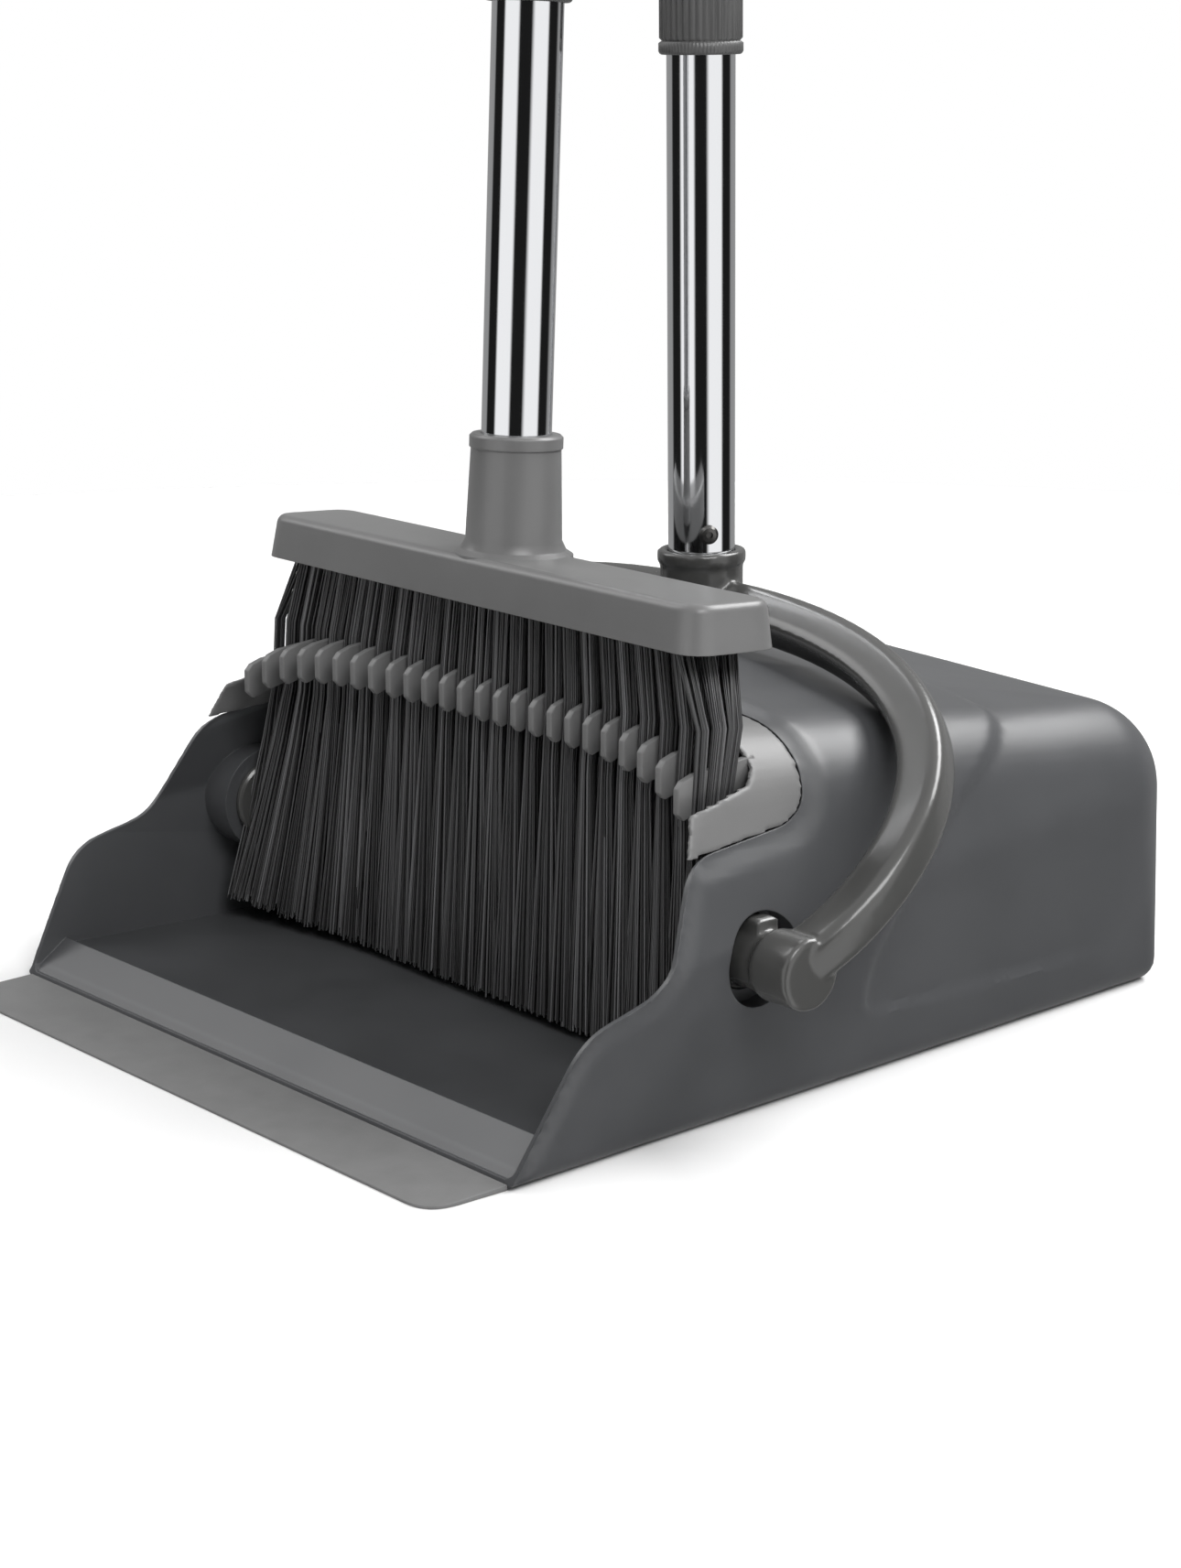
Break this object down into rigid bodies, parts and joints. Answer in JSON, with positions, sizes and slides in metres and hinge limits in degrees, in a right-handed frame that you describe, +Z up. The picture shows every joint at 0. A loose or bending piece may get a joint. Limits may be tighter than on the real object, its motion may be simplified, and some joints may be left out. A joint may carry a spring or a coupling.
{
  "type": "upright dustpan and brush set",
  "caption": "Hooded dustpan on a swinging bail handle with a toothed comb, and an upright broom clipped to the pan's handle.",
  "frame": {"origin": "middle of the pan's flat underside, on the ground", "axes": "+X to the right of someone who looks into the pan's mouth, +Y from the mouth to the pan's back, +Z up"},
  "size_m": [0.303, 0.3058, 0.9521],
  "materials": {
    "pan_plastic": "satin moulded",
    "comb_plastic": "satin moulded",
    "lip_rubber": "matt",
    "bail_plastic": "semi gloss moulded",
    "screw_steel": "plated",
    "tube_steel": "mirror polished",
    "joiner_plastic": "moulded",
    "collar_plastic": "fluted moulded",
    "clip_plastic": "satin moulded",
    "head_plastic": "satin moulded",
    "bristle_fibre": "bunched fibre",
    "grip_plastic": "soft satin"
  },
  "bodies": {
    "pan": {"pan_shell": "pan_plastic", "comb": "comb_plastic", "lip_strip": "lip_rubber"},
    "handle": {"bail_handle": "bail_plastic", "pivot_caps": "bail_plastic", "tube_screw": "screw_steel", "pan_tube_lower": "tube_steel", "pan_tube_middle": "tube_steel", "pan_tube_upper": "tube_steel", "pan_joiner_lower": "joiner_plastic", "pan_joiner_upper": "joiner_plastic", "pan_grip": "grip_plastic"},
    "clip": {"handle_clip": "clip_plastic"},
    "broom": {"broom_head": "head_plastic", "bristles": "bristle_fibre", "broom_tube_1": "tube_steel", "broom_tube_2": "tube_steel", "broom_tube_3": "tube_steel", "broom_tube_4": "tube_steel", "broom_joiner_1": "joiner_plastic", "broom_joiner_2": "joiner_plastic", "broom_joiner_3": "joiner_plastic", "broom_grip": "grip_plastic"},
    "pan_collar_low": {"pan_collar_lower": "collar_plastic"},
    "pan_collar_high": {"pan_collar_upper": "collar_plastic"},
    "broom_collar_low": {"broom_collar_1": "collar_plastic"},
    "broom_collar_mid": {"broom_collar_2": "collar_plastic"},
    "broom_collar_high": {"broom_collar_3": "collar_plastic"}
  },
  "joints": [
    {"name": "handle_fold", "type": "hinge", "parent": "pan", "child": "handle", "pos_m": [0, -0.054, 0.047], "axis": [1, 0, 0], "range_deg": [0, 90], "deforming": ["bristles"]},
    {"name": "clip_slide", "type": "slide", "parent": "handle", "child": "clip", "axis": [0, -0.0131, 0.9999], "range_m": [0, 0.04], "deforming": ["bristles"]},
    {"name": "broom_slide", "type": "slide", "parent": "clip", "child": "broom", "axis": [0, 0.0419, 0.9991], "range_m": [0, 0.025], "deforming": ["bristles"]},
    {"name": "pan_collar_low_turn", "type": "hinge", "parent": "handle", "child": "pan_collar_low", "pos_m": [0, 0.03374, 0.30757], "axis": [0, -0.0131, 0.9999], "range_deg": [0, 180]},
    {"name": "pan_collar_high_turn", "type": "hinge", "parent": "handle", "child": "pan_collar_high", "pos_m": [0, 0.03148, 0.48055], "axis": [0, -0.0131, 0.9999], "range_deg": [0, 180]},
    {"name": "broom_collar_low_turn", "type": "hinge", "parent": "broom", "child": "broom_collar_low", "pos_m": [0, -0.03228, 0.32284], "axis": [0, 0.0419, 0.9991], "range_deg": [0, 180]},
    {"name": "broom_collar_mid_turn", "type": "hinge", "parent": "broom", "child": "broom_collar_mid", "pos_m": [0, -0.02504, 0.49569], "axis": [0, 0.0419, 0.9991], "range_deg": [0, 180]},
    {"name": "broom_collar_high_turn", "type": "hinge", "parent": "broom", "child": "broom_collar_high", "pos_m": [0, -0.01779, 0.66854], "axis": [0, 0.0419, 0.9991], "range_deg": [0, 180]}
  ]
}
